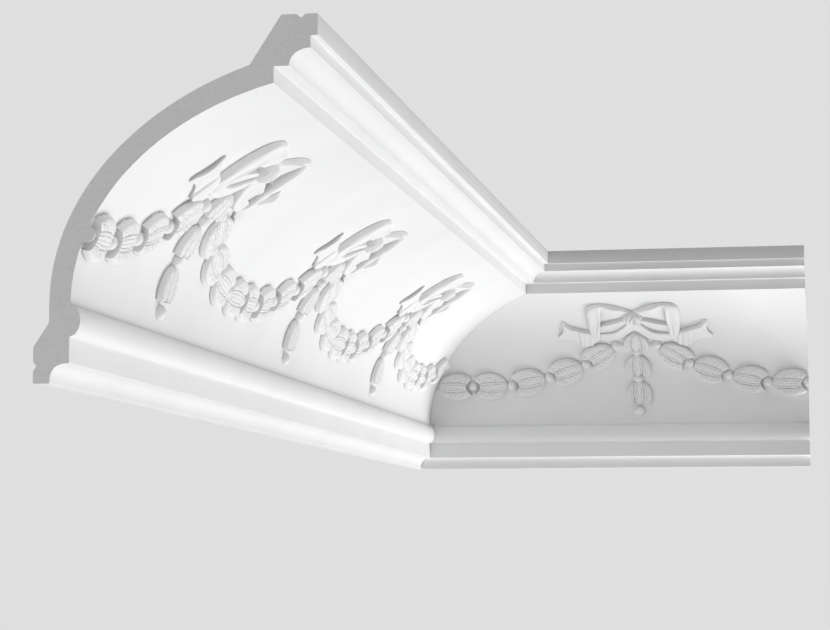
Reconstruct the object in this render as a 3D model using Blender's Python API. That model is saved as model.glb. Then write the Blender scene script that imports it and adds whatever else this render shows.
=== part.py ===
# Flexible cornice moulding: two lengths of a swag cove meeting in a mitre in an inside corner.
# Each length is one casting, with bows, hanging husks and husk swags standing out from its cove.
import math

import bmesh
import bpy
import numpy as np
from mathutils import Vector

for old in list(bpy.data.objects):
    bpy.data.objects.remove(old, do_unlink=True)

MM = 0.001

# Driving sizes, in millimetres.
HEIGHT = 172.0
PROJECTION = 136.5
REPEAT = 2000.0 / 7.0
LEFT_REPEATS = 3.5
RIGHT_REPEATS = 1.2
LEFT_FIRST_BOW = REPEAT
RIGHT_FIRST_BOW = 0.7 * REPEAT
MITRE_GAP = 0.3
LEFT_LENGTH = LEFT_REPEATS * REPEAT
RIGHT_LENGTH = RIGHT_REPEATS * REPEAT

# The origin is on the back of the right length, on the flat foot that is glued to the wall.
ORIGIN = Vector((0.5 * RIGHT_LENGTH, 0.0, 13.8))

# Foot of the section: wall face, glue groove, fascia and the hollow under it.
FOOT_TOP = 17.4
BACK_START = (7.5, 28.7)
GLUE_GROOVE_WIDTH = 4.2
GLUE_GROOVE_DEPTH = 1.4
WALL_GROOVE_LOW = 6.0
FASCIA_P = 17.6
FASCIA_TOP = 21.4
HOLLOW_TOP = 9.4
HOLLOW_FOOT_P = 8.1
HOLLOW_FULLNESS = 0.77

# Torus bead under the cove.
TORUS_MID_Z = 29.6
TORUS_REACH = 4.9
TORUS_HALF = 7.4

# Front and back of the cove, two ellipses with the angle counted from their lowest point.
COVE_CENTRE = (161.0, 37.03)
COVE_RADII = (143.07, 108.2)
COVE_END = math.radians(71.45)
BACK_CENTRE = (168.71, 38.21)
BACK_RADII = (161.19, 120.58)
BACK_END = math.radians(66.3)

# Head of the section: ceiling face, two fillets, a small hollow and a soffit.
CEILING_START = 119.0
CEILING_GROOVE_START = 126.4
CEILING_GROOVE_DEPTH = 1.6
CROWN_DROP = 10.4
FILLET_P = 133.1
FILLET_FOOT = 155.8
HEAD_HOLLOW = (10.3, 8.3)
SOFFIT_Z = 147.5

COVE_ROWS = 9
BACK_ROWS = 8

# Ornament, on the cove unrolled flat: x along the length from the bow, y up the cove.
SINK = 1.6
SWAG_BEAD = (4.6, 4.4)
DROP_BEAD = (4.3, 4.6)
SWAG_BEADS = [(17.0, 74.0), (43.7, 54.8), (76.0, 42.4), (108.9, 35.4), (0.5 * REPEAT, 34.7)]
DROP_BEADS = [67.0, 40.6, 11.4]
DROP_TOPS = [90.0, 64.8, 38.6]
DROP_TIPS = [69.4, 43.4, 17.6]
# Half width, height and the radius of the mouth that holds the next bead.
SWAG_HUSK = (12.8, 5.6, 6.2)
DROP_HUSK = (10.6, 5.2, 3.6)
HUSK_STARTS_PAST_BEAD = 4.0
HUSK_TIPS_PAST_BEAD = 0.5
HUSK_ROUND_END = 0.20
KNOT_MIDDLE = 110.2
KNOT_STRETCH = 0.98
# Radius and height of each ring of the knot, from its foot up and into its hollow.
KNOT_RINGS = ((8.4, -SINK), (7.6, 5.2), (5.0, 7.2), (2.4, 5.6))
KNOT_SIDES = 9
# The tail's fork, how near its end the ribbon thins, and to what share of its height.
FORK_DEPTH = 6.4
FORK_CORNER_DEPTH = 1.8
FORK_SHOULDER = 0.72
FORK_THINNING = 0.62
# Across a husk, as (way across, level): rim, side petal, groove, middle petal and back again.
SWAG_PETALS = ((-1.0, 0.0), (-0.84, 0.80), (-0.32, 0.66), (0.0, 1.0),
               (0.32, 0.66), (0.84, 0.80), (1.0, 0.0))
DROP_PETALS = ((-1.0, 0.0), (-0.76, 0.80), (0.0, 1.0), (0.76, 0.80), (1.0, 0.0))
# Along a husk, as (way along, width, level): rim, shoulder, belly, lip and rim.
HUSK_ROWS = ((0.0, 0.62, 0.0), (0.09, 0.80, 0.86), (0.48, 1.0, 1.0), (0.94, 0.82, 0.86),
             (1.0, 0.76, 0.0))
# Up a bead, as (radius, height) of each ring, in shares of its radius and height.
BEAD_RINGS = ((1.12, None), (0.92, 0.55), (0.44, 1.0))
BEAD_SIDES = 6

# The plain section runs past both cuts, and a form is left off where the mitre would take
# more of it than this share.
OVERRUN = 30.0
CLEARANCE = 2.0
MITRE_SHARE = 0.5
SHARP_ANGLE = math.radians(28.0)


def ellipse_point(centre, radii, angle):
    p = centre[0] - radii[0] * math.cos(angle)
    z = centre[1] + radii[1] * math.sin(angle)
    return p, z


def arc(centre, radii, start, end, steps, fullness=1.0):
    # Points on an ellipse about its centre, at angles from the projection axis.
    # A fullness below 1 swells the curve towards its corners.
    points = []
    for k in range(steps + 1):
        angle = start + (end - start) * k / steps
        c, s = math.cos(angle), math.sin(angle)
        points.append((centre[0] + radii[0] * math.copysign(abs(c) ** fullness, c),
                       centre[1] + radii[1] * math.copysign(abs(s) ** fullness, s)))
    return points


def groove(start, along, inward, width, depth):
    # Four points of a shallow glue groove that begins at start.
    flare = 0.15 * width
    offsets = [(0.0, 0.0), (flare, depth), (width - flare, depth), (width, 0.0)]
    return [(start[0] + a * along[0] + d * inward[0], start[1] + a * along[1] + d * inward[1])
            for a, d in offsets]


def cornice_section():
    # The whole section as (projection, height) points, from the wall's foot round to the front.
    quarter = math.pi / 2
    back = [ellipse_point(BACK_CENTRE, BACK_RADII, BACK_END * k / BACK_ROWS)
            for k in range(BACK_ROWS + 1)]
    cove = [ellipse_point(COVE_CENTRE, COVE_RADII, COVE_END * (1 - k / COVE_ROWS))
            for k in range(COVE_ROWS + 1)]
    torus_back = COVE_CENTRE[0] - COVE_RADII[0]
    torus = arc((torus_back, TORUS_MID_Z), (TORUS_REACH, TORUS_HALF), quarter, -quarter, 6)
    points = [(0.0, 0.0)]
    points += groove((0.0, WALL_GROOVE_LOW), (0, 1), (1, 0), GLUE_GROOVE_WIDTH, GLUE_GROOVE_DEPTH)
    points += [(0.0, FOOT_TOP), BACK_START]
    points += back
    points += [(CEILING_START, HEIGHT)]
    points += groove((CEILING_GROOVE_START, HEIGHT), (1, 0), (0, -1), GLUE_GROOVE_WIDTH,
                     CEILING_GROOVE_DEPTH)
    points += [(PROJECTION, HEIGHT), (PROJECTION, HEIGHT - CROWN_DROP),
               (FILLET_P, HEIGHT - CROWN_DROP)]
    points += arc((FILLET_P, SOFFIT_Z), HEAD_HOLLOW, quarter, 2 * quarter, 4)
    points += [(cove[0][0], SOFFIT_Z)]
    points += cove
    points += torus[1:-1]
    points += [(FASCIA_P, FASCIA_TOP)]
    points += arc((FASCIA_P, 0.0), (FASCIA_P - HOLLOW_FOOT_P, HOLLOW_TOP), quarter, 2 * quarter, 5,
                  HOLLOW_FULLNESS)
    return points


ARC_STEPS = 600
ARC_ANGLES = np.linspace(0.0, math.pi / 2, ARC_STEPS)
ARC_SPEED = np.hypot(COVE_RADII[0] * np.sin(ARC_ANGLES), COVE_RADII[1] * np.cos(ARC_ANGLES))
ARC_LENGTHS = np.concatenate([[0.0], np.cumsum(0.5 * (ARC_SPEED[1:] + ARC_SPEED[:-1])
                                               * (ARC_ANGLES[1] - ARC_ANGLES[0]))])


def cove_point(up, out):
    # Section point that lies a given way up the cove and stands out from it.
    angle = float(np.interp(up, ARC_LENGTHS, ARC_ANGLES))
    p, z = ellipse_point(COVE_CENTRE, COVE_RADII, angle)
    normal_p = COVE_RADII[1] * math.cos(angle)
    normal_z = -COVE_RADII[0] * math.sin(angle)
    size = math.hypot(normal_p, normal_z)
    return p + out * normal_p / size, z + out * normal_z / size


class Run:
    # One length of cornice: where it lies in the corner and which way its ornament faces.
    def __init__(self, name, length, first_bow, along_x):
        self.name = name
        self.length = length
        self.first_bow = first_bow
        self.along_x = along_x

    def place(self, distance, p, z):
        if self.along_x:
            point = Vector((distance, -p, z))
        else:
            point = Vector((p, -distance, z))
        return (point - ORIGIN) * MM

    def distance(self, point):
        # How far along the length, in millimetres from the corner, a placed point lies.
        return point.x / MM + ORIGIN.x if self.along_x else -point.y / MM - ORIGIN.y

    def reach(self, point):
        # How far out from its wall, in millimetres, a placed point lies.
        return -point.y / MM - ORIGIN.y if self.along_x else point.x / MM + ORIGIN.x

    def on_cove(self, bow, x, y, out):
        side = 1.0 if self.along_x else -1.0
        p, z = cove_point(y, out)
        return self.place(bow + side * x, p, z)


def smooth_curve(points, t):
    # A curve that passes through its points, as a Catmull-Rom spline.
    pts = [np.array(point, dtype=float) for point in points]
    pts = [2 * pts[0] - pts[1]] + pts + [2 * pts[-1] - pts[-2]]
    spans = len(pts) - 3
    k = min(int(t * spans), spans - 1)
    u = t * spans - k
    a, b, c, d = pts[k:k + 4]
    return 0.5 * (2 * b + (c - a) * u + (2 * a - 5 * b + 4 * c - d) * u ** 2
                  + (3 * b - a - 3 * c + d) * u ** 3)


def solid_from_grid(grid, run, bow, mirror):
    # A closed body whose top is a grid of (x, y, height) points and whose rim is sunk in the cove.
    rows = len(grid)
    columns = len(grid[0])
    side = -1.0 if mirror else 1.0
    rim = [(0, j) for j in range(columns)]
    rim += [(i, columns - 1) for i in range(1, rows)]
    rim += [(rows - 1, j) for j in range(columns - 2, -1, -1)]
    rim += [(i, 0) for i in range(rows - 2, 0, -1)]
    bm = bmesh.new()
    verts = {}
    for i, row in enumerate(grid):
        for j, (x, y, h) in enumerate(row):
            out = -SINK if (i, j) in rim else h
            verts[i, j] = bm.verts.new(run.on_cove(bow, side * x, y, out))
    for i in range(rows - 1):
        for j in range(columns - 1):
            bm.faces.new((verts[i, j], verts[i, j + 1], verts[i + 1, j + 1], verts[i + 1, j]))
    bm.faces.new([verts[key] for key in rim])
    bmesh.ops.recalc_face_normals(bm, faces=bm.faces)
    return bm


def solid_from_rings(rings, run, bow, mirror):
    # A closed body of rings of (x, y, height) points, closed by a face at its foot and its top.
    side = -1.0 if mirror else 1.0
    bm = bmesh.new()
    loops = [[bm.verts.new(run.on_cove(bow, side * x, y, h)) for x, y, h in ring] for ring in rings]
    count = len(rings[0])
    for lower, upper in zip(loops, loops[1:]):
        for k in range(count):
            n = (k + 1) % count
            bm.faces.new((lower[k], lower[n], upper[n], upper[k]))
    bm.faces.new(loops[0])
    bm.faces.new(loops[-1])
    bmesh.ops.recalc_face_normals(bm, faces=bm.faces)
    return bm


def ring(x, y, radius, stretch, sides, h):
    # One ring of points round (x, y), all at one height.
    return [(x + radius * math.cos(2 * math.pi * k / sides),
             y + stretch * radius * math.sin(2 * math.pi * k / sides), h) for k in range(sides)]


def bead_rings(x, y, bead):
    # A domed bead.
    radius, height = bead
    return [ring(x, y, share * radius, 1.0, BEAD_SIDES, -SINK if level is None else level * height)
            for share, level in BEAD_RINGS]


def husk_grid(start, tip, husk, columns):
    # A bell-shaped husk of petals, from its round end at start to its tips at tip.
    # Columns run along the husk, each with its way across and its level.
    half_width, height, bite = husk
    start = np.array(start)
    axis = np.array(tip) - start
    length = float(np.hypot(*axis))
    axis = axis / length
    across = np.array((-axis[1], axis[0]))
    grid = []
    for t, wide, high in HUSK_ROWS:
        row = []
        for q, level in columns:
            side = q * wide * half_width
            round_end = HUSK_ROUND_END * length * q * q
            mouth = length - math.sqrt(max(bite ** 2 - side ** 2, 0.0))
            along = round_end + t * (mouth - round_end)
            point = start + along * axis + side * across
            row.append((point[0], point[1], height * high * level))
        grid.append(row)
    return grid


def strip_grid(first_edge, second_edge, levels, rows):
    # A ribbon between two edge curves; levels gives (way across, height) for each column.
    grid = []
    for i in range(rows):
        a = smooth_curve(first_edge, i / (rows - 1))
        b = smooth_curve(second_edge, i / (rows - 1))
        points = [(a + q * (b - a), h) for q, h in levels]
        grid.append([(point[0], point[1], h) for point, h in points])
    return grid


def bow_half():
    # The ribbons of the right half of the bow, each between two edge curves.
    upper_limb = strip_grid([(-1.6, 115.8), (12.0, 125.6), (32.0, 129.8)],
                            [(-1.6, 110.6), (14.0, 110.2), (32.0, 104.4)],
                            ((0.0, 0.0), (0.14, 4.6), (0.60, 3.8), (0.95, 2.2), (1.0, 0.0)), 4)
    lower_face = strip_grid([(3.0, 109.0), (15.0, 105.0), (31.0, 100.0)],
                            [(3.0, 99.0), (15.0, 90.4), (31.0, 86.0)],
                            ((0.0, 0.0), (0.12, 3.8), (1.0, 0.0)), 4)
    outer_band = strip_grid([(26.4, 127.4), (27.2, 118.0), (28.4, 98.0), (30.4, 80.8)],
                            [(31.0, 131.0), (39.6, 121.0), (39.2, 98.0), (31.6, 80.2)],
                            ((0.0, 0.0), (0.10, 4.8), (0.40, 5.2), (0.84, 3.8), (1.0, 0.0)), 6)
    bottom_band = strip_grid([(32.0, 81.0), (20.0, 79.8), (8.8, 85.6), (-3.4, 98.8)],
                             [(31.0, 89.6), (18.0, 91.2), (9.8, 97.4), (1.2, 108.4)],
                             ((0.0, 0.0), (0.12, 4.0), (0.5, 4.9), (0.9, 4.3), (1.0, 0.0)), 5)
    tail = strip_grid([(30.0, 88.6), (41.0, 92.2), (52.0, 96.2), (60.2, 104.6)],
                      [(30.0, 80.0), (42.0, 72.8), (52.0, 80.2), (66.0, 81.4)],
                      ((0.0, 0.0), (0.18, 3.4), (0.50, 3.2), (0.86, 2.6), (1.0, 0.0)), 5)
    return [upper_limb, lower_face, outer_band, bottom_band, forked(tail)]


def forked(tail):
    # The tail's end, thinner there and cut to a swallow tail.
    shoulder, rim = tail[-2], tail[-1]
    for j, depth in ((1, FORK_CORNER_DEPTH), (2, FORK_DEPTH), (3, FORK_CORNER_DEPTH)):
        rim[j] = (rim[j][0] - depth, rim[j][1], 0.0)
    for j in range(1, 4):
        middle = FORK_SHOULDER * np.array(rim[j]) + (1 - FORK_SHOULDER) * np.array(shoulder[j])
        shoulder[j] = (middle[0], middle[1], FORK_THINNING * shoulder[j][2])
    return tail


def knot_rings():
    # The knot, a domed coil with a hollow in its middle.
    return [ring(0.0, KNOT_MIDDLE, radius, KNOT_STRETCH, KNOT_SIDES, h) for radius, h in KNOT_RINGS]


def swag_husk(first_bead, second_bead):
    # A husk that hangs between two beads of the swag.
    step = np.array(second_bead) - np.array(first_bead)
    step = step / np.hypot(*step)
    start = np.array(first_bead) + HUSK_STARTS_PAST_BEAD * step
    tip = np.array(second_bead) + HUSK_TIPS_PAST_BEAD * step
    return husk_grid(start, tip, SWAG_HUSK, SWAG_PETALS)


def ornament(run, bow):
    # All the bodies of one bow with its drop and the two half swags beside it.
    bodies = []
    for mirror in (False, True):
        for grid in bow_half():
            bodies.append(solid_from_grid(grid, run, bow, mirror))
        for x, y in SWAG_BEADS[:-1]:
            bodies.append(solid_from_rings(bead_rings(x, y, SWAG_BEAD), run, bow, mirror))
        for first, second in zip(SWAG_BEADS, SWAG_BEADS[1:]):
            bodies.append(solid_from_grid(swag_husk(first, second), run, bow, mirror))
    bodies.append(solid_from_rings(bead_rings(*SWAG_BEADS[-1], SWAG_BEAD), run, bow, False))
    for top, foot in zip(DROP_TOPS, DROP_TIPS):
        grid = husk_grid((0.0, top), (0.0, foot), DROP_HUSK, DROP_PETALS)
        bodies.append(solid_from_grid(grid, run, bow, False))
    for y in DROP_BEADS:
        bodies.append(solid_from_rings(bead_rings(0.0, y, DROP_BEAD), run, bow, False))
    bodies.append(solid_from_rings(knot_rings(), run, bow, False))
    return bodies


def plain_length(run, section, start, end):
    # The section swept from start to end, closed at both ends.
    bm = bmesh.new()
    near = [bm.verts.new(run.place(start, p, z)) for p, z in section]
    far = [bm.verts.new(run.place(end, p, z)) for p, z in section]
    count = len(section)
    for k in range(count):
        n = (k + 1) % count
        bm.faces.new((near[k], near[n], far[n], far[k]))
    bm.faces.new(near)
    bm.faces.new(far)
    bmesh.ops.recalc_face_normals(bm, faces=bm.faces)
    return bm


def make_object(bm, name):
    mesh = bpy.data.meshes.new(name)
    bm.to_mesh(mesh)
    bm.free()
    return bpy.data.objects.new(name, mesh)


def cut_off(bm, point, normal):
    # Cut the body by a plane and close it; the side that the normal points to goes.
    parts = list(bm.verts) + list(bm.edges) + list(bm.faces)
    cut = bmesh.ops.bisect_plane(bm, geom=parts, dist=1e-7, plane_co=point, plane_no=normal,
                                 clear_outer=True)
    edges = [item for item in cut["geom_cut"] if isinstance(item, bmesh.types.BMEdge)]
    bmesh.ops.contextual_create(bm, geom=edges)


def drop_pockets(bm):
    # Keep the casting itself and fill the closed pockets between overlapping ribbons.
    bm.verts.ensure_lookup_table()
    unseen = set(bm.verts)
    bodies = []
    while unseen:
        stack = [unseen.pop()]
        body = []
        while stack:
            vert = stack.pop()
            body.append(vert)
            for edge in vert.link_edges:
                other = edge.other_vert(vert)
                if other in unseen:
                    unseen.remove(other)
                    stack.append(other)
        bodies.append(body)
    bodies.sort(key=len)
    for body in bodies[:-1]:
        bmesh.ops.delete(bm, geom=body, context="VERTS")


def carving_forms(run):
    # The ornament of a whole length, as one collection of closed bodies.
    carving = bpy.data.collections.new(run.name + "_carving")
    bow = run.first_bow - REPEAT
    while bow < run.length + 0.5 * REPEAT:
        for k, bm in enumerate(ornament(run, bow)):
            span = [run.distance(vert.co) for vert in bm.verts]
            mitred = [vert for vert in bm.verts if run.distance(vert.co) < run.reach(vert.co)]
            kept = len(mitred) < MITRE_SHARE * len(span) and min(span) < run.length + CLEARANCE
            if kept and max(span) < run.length + OVERRUN - CLEARANCE:
                carving.objects.link(make_object(bm, f"{run.name}_form_{k}"))
        bow += REPEAT
    return carving


def fuse(body, carving):
    # The plain length and its ornament as one mesh.
    union = body.modifiers.new("carving", "BOOLEAN")
    union.operation = "UNION"
    union.solver = "EXACT"
    union.operand_type = "COLLECTION"
    union.collection = carving
    depsgraph = bpy.context.evaluated_depsgraph_get()
    fused = bpy.data.meshes.new_from_object(body.evaluated_get(depsgraph))
    body.modifiers.clear()
    for form in list(carving.objects):
        bpy.data.objects.remove(form, do_unlink=True)
    bpy.data.collections.remove(carving)
    return fused


def cornice_length(run, section, material):
    # One casting, cut square at its outer end and mitred at the corner.
    body = make_object(plain_length(run, section, -OVERRUN, run.length + OVERRUN), run.name)
    bpy.context.scene.collection.objects.link(body)
    fused = fuse(body, carving_forms(run))
    bm = bmesh.new()
    bm.from_mesh(fused)
    if run.along_x:
        outward = Vector((1.0, 0.0, 0.0))
        mitre_normal = Vector((-1.0, -1.0, 0.0)).normalized()
    else:
        outward = Vector((0.0, -1.0, 0.0))
        mitre_normal = Vector((1.0, 1.0, 0.0)).normalized()
    cut_off(bm, run.place(run.length, 0.0, 0.0), outward)
    corner = -ORIGIN * MM
    cut_off(bm, corner - mitre_normal * 0.5 * MITRE_GAP * MM, mitre_normal)
    bmesh.ops.triangulate(bm, faces=bm.faces)
    drop_pockets(bm)
    bmesh.ops.recalc_face_normals(bm, faces=bm.faces)
    bm.to_mesh(body.data)
    bm.free()
    body.data.materials.append(material)
    body.data.shade_smooth()
    body.data.set_sharp_from_angle(angle=SHARP_ANGLE)


def paintable_polyurethane():
    material = bpy.data.materials.new("primed_polyurethane")
    material.use_nodes = True
    shader = material.node_tree.nodes["Principled BSDF"]
    shader.inputs["Base Color"].default_value = (0.86, 0.86, 0.85, 1.0)
    shader.inputs["Roughness"].default_value = 0.62
    shader.inputs["Metallic"].default_value = 0.0
    return material


white = paintable_polyurethane()
outline = cornice_section()
cornice_length(Run("left_cornice_length", LEFT_LENGTH, LEFT_FIRST_BOW, False), outline, white)
cornice_length(Run("right_cornice_length", RIGHT_LENGTH, RIGHT_FIRST_BOW, True), outline, white)
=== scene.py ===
import math

import bpy
import numpy as np
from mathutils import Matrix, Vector


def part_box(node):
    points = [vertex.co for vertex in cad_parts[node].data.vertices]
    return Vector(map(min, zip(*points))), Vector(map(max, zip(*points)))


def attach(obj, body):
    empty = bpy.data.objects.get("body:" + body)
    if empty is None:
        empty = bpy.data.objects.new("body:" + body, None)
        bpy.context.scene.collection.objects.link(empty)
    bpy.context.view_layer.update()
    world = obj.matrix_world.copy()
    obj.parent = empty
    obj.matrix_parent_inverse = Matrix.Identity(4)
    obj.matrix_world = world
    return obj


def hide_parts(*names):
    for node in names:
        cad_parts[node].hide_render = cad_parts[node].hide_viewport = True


# Flexible cornice moulding: two primed lengths of a swag cove, mitred in an inside corner.
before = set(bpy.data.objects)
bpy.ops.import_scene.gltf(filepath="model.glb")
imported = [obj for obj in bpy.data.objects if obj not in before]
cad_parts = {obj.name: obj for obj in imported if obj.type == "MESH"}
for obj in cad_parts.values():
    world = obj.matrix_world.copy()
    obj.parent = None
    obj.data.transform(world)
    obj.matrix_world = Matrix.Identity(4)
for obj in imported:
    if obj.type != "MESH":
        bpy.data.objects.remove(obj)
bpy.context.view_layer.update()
mm = 0.001

leftLow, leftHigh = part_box("left_cornice_length")
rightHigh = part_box("right_cornice_length")[1]
corner = Vector((leftLow.x, rightHigh.y, leftLow.z))    # where the two backs meet, at the foot
leftLength = (corner.y - leftLow.y) / mm
rightLength = (rightHigh.x - corner.x) / mm
repeat = leftLength / 3.5        # from bow to bow


# Small tools

def clearSelection():
    if bpy.context.object and bpy.context.object.mode != "OBJECT":
        bpy.ops.object.mode_set(mode="OBJECT")
    bpy.ops.object.select_all(action="DESELECT")


def makeActive(piece):
    clearSelection()
    piece.select_set(True)
    bpy.context.view_layer.objects.active = piece


def startEditing(piece):
    makeActive(piece)
    bpy.ops.object.mode_set(mode="EDIT")
    bpy.ops.mesh.select_all(action="SELECT")


def stopEditing():
    bpy.ops.object.mode_set(mode="OBJECT")


def makeConsistent(piece):
    startEditing(piece)
    bpy.ops.mesh.normals_make_consistent(inside=False)
    stopEditing()


def readPoints(piece):
    points = np.empty(len(piece.data.vertices) * 3)
    piece.data.vertices.foreach_get("co", points)
    return points.reshape(-1, 3)


def writePoints(piece, points):
    piece.data.vertices.foreach_set("co", np.ascontiguousarray(points, dtype=np.float32).ravel())
    piece.data.update()


def ramp(value, width):
    # 0 up to 0 and 1 from the width on, even between them.
    return np.clip(value / width, 0, 1)


def smoothAlong(stations, t):
    # A Catmull-Rom curve through the stations, read at the values t from 0 to 1.
    pts = np.asarray(stations, dtype=float)
    pts = np.concatenate([[2 * pts[0] - pts[1]], pts, [2 * pts[-1] - pts[-2]]])
    spans = len(pts) - 3
    place = np.clip(np.asarray(t) * spans, 0, spans - 1e-9)
    k = place.astype(int)
    u = (place - k).reshape((-1,) + (1,) * (pts.ndim - 1))
    a, b, c, d = pts[k], pts[k + 1], pts[k + 2], pts[k + 3]
    return 0.5 * (2 * b + (c - a) * u + (2 * a - 5 * b + 4 * c - d) * u ** 2
                  + (3 * b - a - 3 * c + d) * u ** 3)


def addSkirt(sheet, depth):
    # Closes an open sheet: walls straight down from its border and one face underneath.
    startEditing(sheet)
    bpy.ops.mesh.region_to_loop()
    bpy.ops.mesh.extrude_region_move(TRANSFORM_OT_translate={"value": (0, 0, -depth)})
    bpy.ops.mesh.edge_face_add()
    stopEditing()


def addPatch(name, across, along, shape):
    # A grid whose points shape(u, v) places, closed by a skirt and a floor under the ground.
    clearSelection()
    bpy.ops.mesh.primitive_grid_add(x_subdivisions=across, y_subdivisions=along, size=1)
    patch = bpy.context.object
    patch.name = name
    points = readPoints(patch)
    writePoints(patch, np.column_stack(shape(points[:, 0] + 0.5, points[:, 1] + 0.5)))
    addSkirt(patch, ground["sink"])
    points = readPoints(patch)
    low = np.zeros(len(points), dtype=bool)
    patch.data.vertices.foreach_get("select", low)
    points[low, 2] = -ground["sink"]
    writePoints(patch, points)
    makeConsistent(patch)
    return patch


def removePieces(pieces):
    for piece in pieces:
        bpy.data.objects.remove(piece, do_unlink=True)


def mirrored(piece):
    # A copy with its own mesh on the other side of the bow.
    twin = piece.copy()
    twin.data = piece.data.copy()
    bpy.context.collection.objects.link(twin)
    points = readPoints(twin)
    points[:, 0] *= -1
    writePoints(twin, points)
    twin.data.flip_normals()
    return twin


# The ornament is modelled flat, one unit to a millimetre: x along from the bow, y up the cove
# and z out of it. It is bent on to the cove afterwards.

ground = {
    "columns": 8, "rows": 44,
    "sink": 2.0,                 # how far each form reaches under the ground
    "thickness": 4.0,            # of the sheet while the forms are fused to it
    "trimBelow": 1.0,            # what lies lower is taken away afterwards
    "close": 0.001,
}

bead = {"radius": 4.25, "lift": 0.3, "segments": 24, "rings": 16}


def addBead(x, y, radius=bead["radius"]):
    clearSelection()
    bpy.ops.mesh.primitive_uv_sphere_add(segments=bead["segments"], ring_count=bead["rings"],
                                         radius=radius, location=(x, y, bead["lift"]))
    bpy.ops.object.transform_apply(location=True, rotation=True, scale=True)
    return bpy.context.object


husk = {
    "rows": 36,
    "start": 4.0,                # the round end's place past its bead
    "frontHalf": 0.62,           # how much of the width the round end takes
    # Across half a husk: way out from the rib, level. Grooves part the petals, and the rim is steep.
    "petals": ((0.0, 0.93), (0.04, 0.97), (0.11, 1.0), (0.17, 0.97), (0.21, 0.89), (0.25, 0.97),
               (0.31, 1.0), (0.36, 0.95), (0.40, 0.82), (0.44, 0.95), (0.51, 1.0), (0.60, 0.985),
               (0.69, 1.0), (0.78, 0.97), (0.87, 0.93), (0.94, 0.83), (0.98, 0.62), (1.0, 0.28)),
    # Along a husk: way along, level. It rises steeply at the round end and sinks at the mouth.
    "rise": ((0.0, 0.24), (0.02, 0.52), (0.05, 0.66), (0.12, 0.79), (0.25, 0.89), (0.45, 0.96),
             (0.70, 1.0), (0.93, 1.0), (1.0, 0.94)),
    # The leaf's crinkles: waves for each row, waves for each column, how deep.
    "crinkles": ((0.21, 0.47, 0.034), (0.13, -0.31, 0.026), (0.37, 0.11, 0.020), (0.06, 0.43, 0.022)),
    # The crinkles fade at the rim, the round end and the mouth, and they are faint along the rib.
    "leafyFrom": 0.5, "leastLeafy": 0.35, "rim": 0.97, "rimFade": 0.15, "startFade": 0.1,
    "mouthFade": 0.05,
    # The grooves wander from row to row, except at the rib and near the rim.
    "wander": 0.014, "wanderWave": 0.55, "otherSide": 1.3, "ribHalf": 0.1, "wanderEnd": 0.8,
    "wanderFade": 0.3,
    "mouthCurve": 1.6,
    "spurHalf": 2.2,             # half the width of the middle petal's point
}


def addHusk(start, tips, size, turn=0.0):
    # A bellflower husk from its round end at start to the line of its tips; turn shifts its crinkles.
    start = np.array(start, dtype=float)
    axis = np.array(tips, dtype=float) - start
    length = float(np.hypot(*axis))
    axis = axis / length
    sideways = np.array((-axis[1], axis[0]))
    half = np.array(husk["petals"])
    ways = np.concatenate([-half[:0:-1, 0], half[:, 0]])
    levels = np.concatenate([half[:0:-1, 1], half[:, 1]])
    columns = len(ways)
    rise = np.array(husk["rise"])
    halfWidth, longRadius, front = size["halfWidth"], size["longRadius"], husk["frontHalf"]

    def widthAt(along):
        return np.sqrt(np.clip(1 - ((along - longRadius) / longRadius) ** 2, 0, 1))

    def crinkled(row, column, v, fromRib):
        leafy = np.clip(fromRib / husk["leafyFrom"], husk["leastLeafy"], 1)
        leafy = leafy * ramp(husk["rim"] - fromRib, husk["rimFade"])
        leafy = leafy * ramp(v, husk["startFade"]) * ramp(1 - v, husk["mouthFade"])
        waves = [depth * np.sin(2 * math.pi * (byRow * row + byColumn * column) + turn)
                 for byRow, byColumn, depth in husk["crinkles"]]
        return leafy * sum(waves)

    frontAlong = longRadius * (1 - math.sqrt(1 - front ** 2))

    def shape(u, v):
        column = np.rint(u * (columns - 1)).astype(int)
        row = np.rint(v * husk["rows"])
        way, level = ways[column], levels[column]
        wander = (ramp(np.abs(way), husk["ribHalf"])
                  * ramp(husk["wanderEnd"] - np.abs(way), husk["wanderFade"]))
        wave = np.sin(husk["wanderWave"] * row + husk["otherSide"] * np.sign(way) + turn)
        way = way + husk["wander"] * wander * wave
        side = way * widthAt(frontAlong + (length - frontAlong) * v) * halfWidth
        roundEnd = longRadius * (1 - np.sqrt(1 - (way * front) ** 2))
        fromAxis = np.abs(way * widthAt(length)) * halfWidth
        inside = np.clip(1 - (fromAxis / size["mouthHalf"]) ** husk["mouthCurve"], 0, 1)
        point = size["spur"] * np.clip(1 - (fromAxis / husk["spurHalf"]) ** 2, 0, 1)
        mouth = length - size["mouthDepth"] * inside + point
        along = roundEnd + v * (mouth - roundEnd)
        level = level + crinkled(row, column, v, np.abs(way))
        z = size["height"] * np.interp(v, rise[:, 0], rise[:, 1]) * level
        x = start[0] + along * axis[0] + side * sideways[0]
        y = start[1] + along * axis[1] + side * sideways[1]
        return x, y, z

    return addPatch("husk", columns - 1, husk["rows"], shape)


swag = {
    "beads": ((17.0, 74.0), (43.7, 54.8), (76.0, 42.4), (108.9, 35.4), (repeat / 2, 34.7)),
    "husk": {"halfWidth": 12.2, "longRadius": 17.2, "height": 5.0, "mouthHalf": 9.4, "mouthDepth": 6.9,
             "spur": 0.0},
    "tipsPast": 0.5,             # how far the tips reach past the next bead's middle
    "turn": 1.9,                 # from husk to husk, so that no two crinkle alike
}


def addSwagHusk(number):
    # The husk between two beads of the half swag, counted from the bow.
    first = np.array(swag["beads"][number])
    second = np.array(swag["beads"][number + 1])
    step = (second - first) / np.hypot(*(second - first))
    return addHusk(first + husk["start"] * step, second + swag["tipsPast"] * step, swag["husk"],
                   swag["turn"] * number)


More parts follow.
